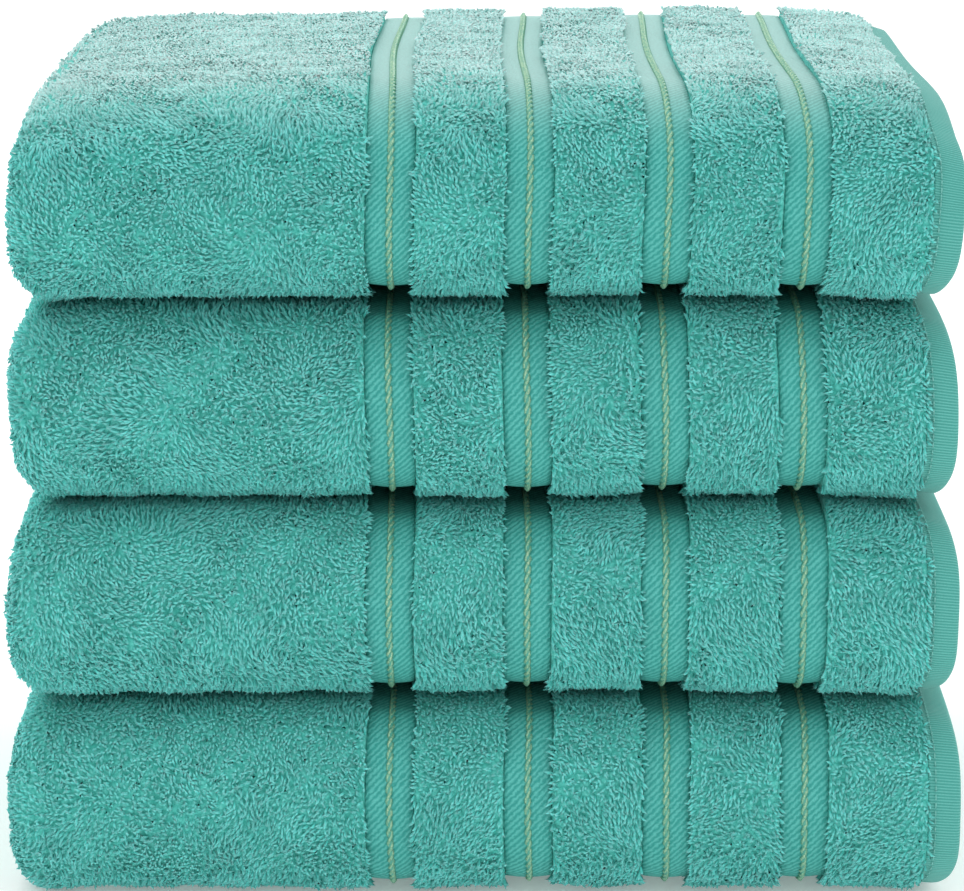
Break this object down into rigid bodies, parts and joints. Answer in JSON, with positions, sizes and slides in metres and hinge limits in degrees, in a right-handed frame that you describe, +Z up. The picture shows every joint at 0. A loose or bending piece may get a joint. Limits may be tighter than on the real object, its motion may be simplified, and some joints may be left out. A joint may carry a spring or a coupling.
{
  "type": "bath towel set",
  "caption": "Stack of folded terry bath towels with flat woven bands, twisted metallic cords along the bands and flat end hems.",
  "frame": {"origin": "under the middle of the stack, on the surface that the bottom towel lies on", "axes": "+X along the folded length towards the hemmed end, +Y from the wide front fold towards the back, +Z up"},
  "size_m": [0.346, 0.245, 0.2937],
  "materials": {
    "terry_pile": "aqua cotton terry loops, matt",
    "inner_terry": "aqua cotton terry, the folded layers inside, matt",
    "flat_woven_band": "aqua flat weave with diagonal ribs, slight sheen",
    "metallic_cord": "pale gold metallised yarn, two plies twisted",
    "woven_hem": "aqua flat weave with fine cross ribs, matt"
  },
  "bodies": {
    "towel_1": {"towel_1_inner_folds": "inner_terry", "towel_1_terry_field": "terry_pile", "towel_1_pile_stripe_1": "terry_pile", "towel_1_pile_stripe_2": "terry_pile", "towel_1_pile_stripe_3": "terry_pile", "towel_1_pile_stripe_4": "terry_pile", "towel_1_flat_band_1": "flat_woven_band", "towel_1_flat_band_2": "flat_woven_band", "towel_1_flat_band_3": "flat_woven_band", "towel_1_flat_band_4": "flat_woven_band", "towel_1_metallic_cord_1": "metallic_cord", "towel_1_metallic_cord_2": "metallic_cord", "towel_1_metallic_cord_3": "metallic_cord", "towel_1_metallic_cord_4": "metallic_cord", "towel_1_end_hem": "woven_hem"},
    "towel_2": {"towel_2_inner_folds": "inner_terry", "towel_2_terry_field": "terry_pile", "towel_2_pile_stripe_1": "terry_pile", "towel_2_pile_stripe_2": "terry_pile", "towel_2_pile_stripe_3": "terry_pile", "towel_2_pile_stripe_4": "terry_pile", "towel_2_flat_band_1": "flat_woven_band", "towel_2_flat_band_2": "flat_woven_band", "towel_2_flat_band_3": "flat_woven_band", "towel_2_flat_band_4": "flat_woven_band", "towel_2_metallic_cord_1": "metallic_cord", "towel_2_metallic_cord_2": "metallic_cord", "towel_2_metallic_cord_3": "metallic_cord", "towel_2_metallic_cord_4": "metallic_cord", "towel_2_end_hem": "woven_hem"},
    "towel_3": {"towel_3_inner_folds": "inner_terry", "towel_3_terry_field": "terry_pile", "towel_3_pile_stripe_1": "terry_pile", "towel_3_pile_stripe_2": "terry_pile", "towel_3_pile_stripe_3": "terry_pile", "towel_3_pile_stripe_4": "terry_pile", "towel_3_flat_band_1": "flat_woven_band", "towel_3_flat_band_2": "flat_woven_band", "towel_3_flat_band_3": "flat_woven_band", "towel_3_flat_band_4": "flat_woven_band", "towel_3_metallic_cord_1": "metallic_cord", "towel_3_metallic_cord_2": "metallic_cord", "towel_3_metallic_cord_3": "metallic_cord", "towel_3_metallic_cord_4": "metallic_cord", "towel_3_end_hem": "woven_hem"},
    "towel_4": {"towel_4_inner_folds": "inner_terry", "towel_4_terry_field": "terry_pile", "towel_4_pile_stripe_1": "terry_pile", "towel_4_pile_stripe_2": "terry_pile", "towel_4_pile_stripe_3": "terry_pile", "towel_4_pile_stripe_4": "terry_pile", "towel_4_flat_band_1": "flat_woven_band", "towel_4_flat_band_2": "flat_woven_band", "towel_4_flat_band_3": "flat_woven_band", "towel_4_flat_band_4": "flat_woven_band", "towel_4_metallic_cord_1": "metallic_cord", "towel_4_metallic_cord_2": "metallic_cord", "towel_4_metallic_cord_3": "metallic_cord", "towel_4_metallic_cord_4": "metallic_cord", "towel_4_end_hem": "woven_hem"}
  },
  "joints": [
    {"name": "towel_2_lift", "type": "slide", "parent": "towel_1", "child": "towel_2", "axis": [0, 0, 1], "range_m": [0, 0.1]},
    {"name": "towel_3_lift", "type": "slide", "parent": "towel_2", "child": "towel_3", "axis": [0, 0, 1], "range_m": [0, 0.1]},
    {"name": "towel_4_lift", "type": "slide", "parent": "towel_3", "child": "towel_4", "axis": [0, 0, 1], "range_m": [0, 0.1]}
  ]
}
